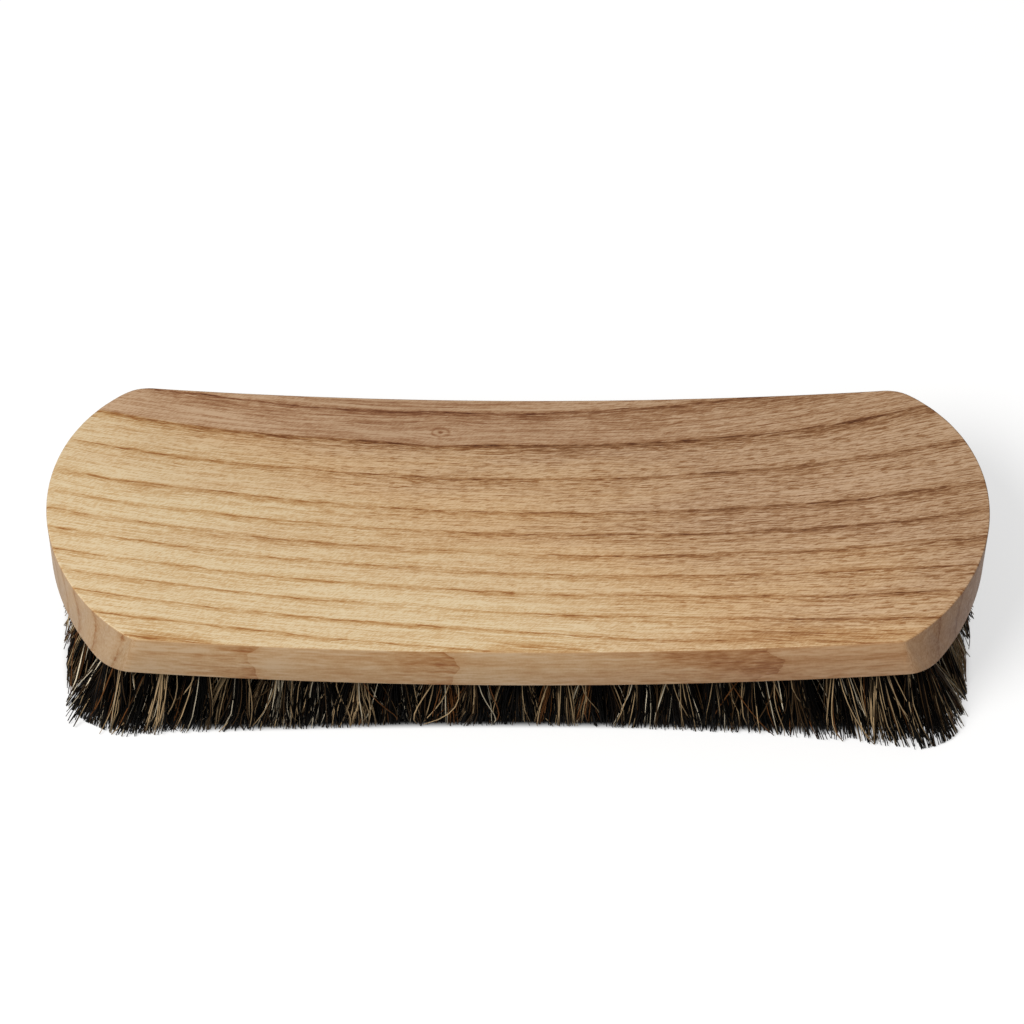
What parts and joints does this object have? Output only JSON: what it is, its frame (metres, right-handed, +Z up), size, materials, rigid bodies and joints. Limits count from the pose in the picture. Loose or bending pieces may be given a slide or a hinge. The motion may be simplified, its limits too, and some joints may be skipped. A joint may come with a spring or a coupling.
{
  "type": "bristle brush",
  "caption": "Bent wooden brush back with rounded ends, its underside drilled with rows of fanned blind holes, each packed with a tuft of dark horsehair trimmed flat.",
  "frame": {"origin": "under the middle of the block, on the plane of the trimmed hair tips", "axes": "+X along the brush, +Y across it, +Z up from the tips to the bare top of the block"},
  "size_m": [0.203, 0.0744, 0.0369],
  "materials": {
    "wood": "bare, finely sanded",
    "horsehair": "soft sheen"
  },
  "bodies": {
    "root": {"block": "wood", "tuft_front_01": "horsehair", "tuft_front_02": "horsehair", "tuft_front_03": "horsehair", "tuft_front_04": "horsehair", "tuft_front_05": "horsehair", "tuft_front_06": "horsehair", "tuft_front_07": "horsehair", "tuft_front_08": "horsehair", "tuft_front_09": "horsehair", "tuft_front_10": "horsehair", "tuft_front_11": "horsehair", "tuft_inner_front_01": "horsehair", "tuft_inner_front_02": "horsehair", "tuft_inner_front_03": "horsehair", "tuft_inner_front_04": "horsehair", "tuft_inner_front_05": "horsehair", "tuft_inner_front_06": "horsehair", "tuft_inner_front_07": "horsehair", "tuft_inner_front_08": "horsehair", "tuft_inner_front_09": "horsehair", "tuft_inner_front_10": "horsehair", "tuft_inner_front_11": "horsehair", "tuft_inner_front_12": "horsehair", "tuft_middle_01": "horsehair", "tuft_middle_02": "horsehair", "tuft_middle_03": "horsehair", "tuft_middle_04": "horsehair", "tuft_middle_05": "horsehair", "tuft_middle_06": "horsehair", "tuft_middle_07": "horsehair", "tuft_middle_08": "horsehair", "tuft_middle_09": "horsehair", "tuft_middle_10": "horsehair", "tuft_middle_11": "horsehair", "tuft_middle_12": "horsehair", "tuft_middle_13": "horsehair", "tuft_inner_back_01": "horsehair", "tuft_inner_back_02": "horsehair", "tuft_inner_back_03": "horsehair", "tuft_inner_back_04": "horsehair", "tuft_inner_back_05": "horsehair", "tuft_inner_back_06": "horsehair", "tuft_inner_back_07": "horsehair", "tuft_inner_back_08": "horsehair", "tuft_inner_back_09": "horsehair", "tuft_inner_back_10": "horsehair", "tuft_inner_back_11": "horsehair", "tuft_inner_back_12": "horsehair", "tuft_back_01": "horsehair", "tuft_back_02": "horsehair", "tuft_back_03": "horsehair", "tuft_back_04": "horsehair", "tuft_back_05": "horsehair", "tuft_back_06": "horsehair", "tuft_back_07": "horsehair", "tuft_back_08": "horsehair", "tuft_back_09": "horsehair", "tuft_back_10": "horsehair", "tuft_back_11": "horsehair"}
  },
  "joints": []
}
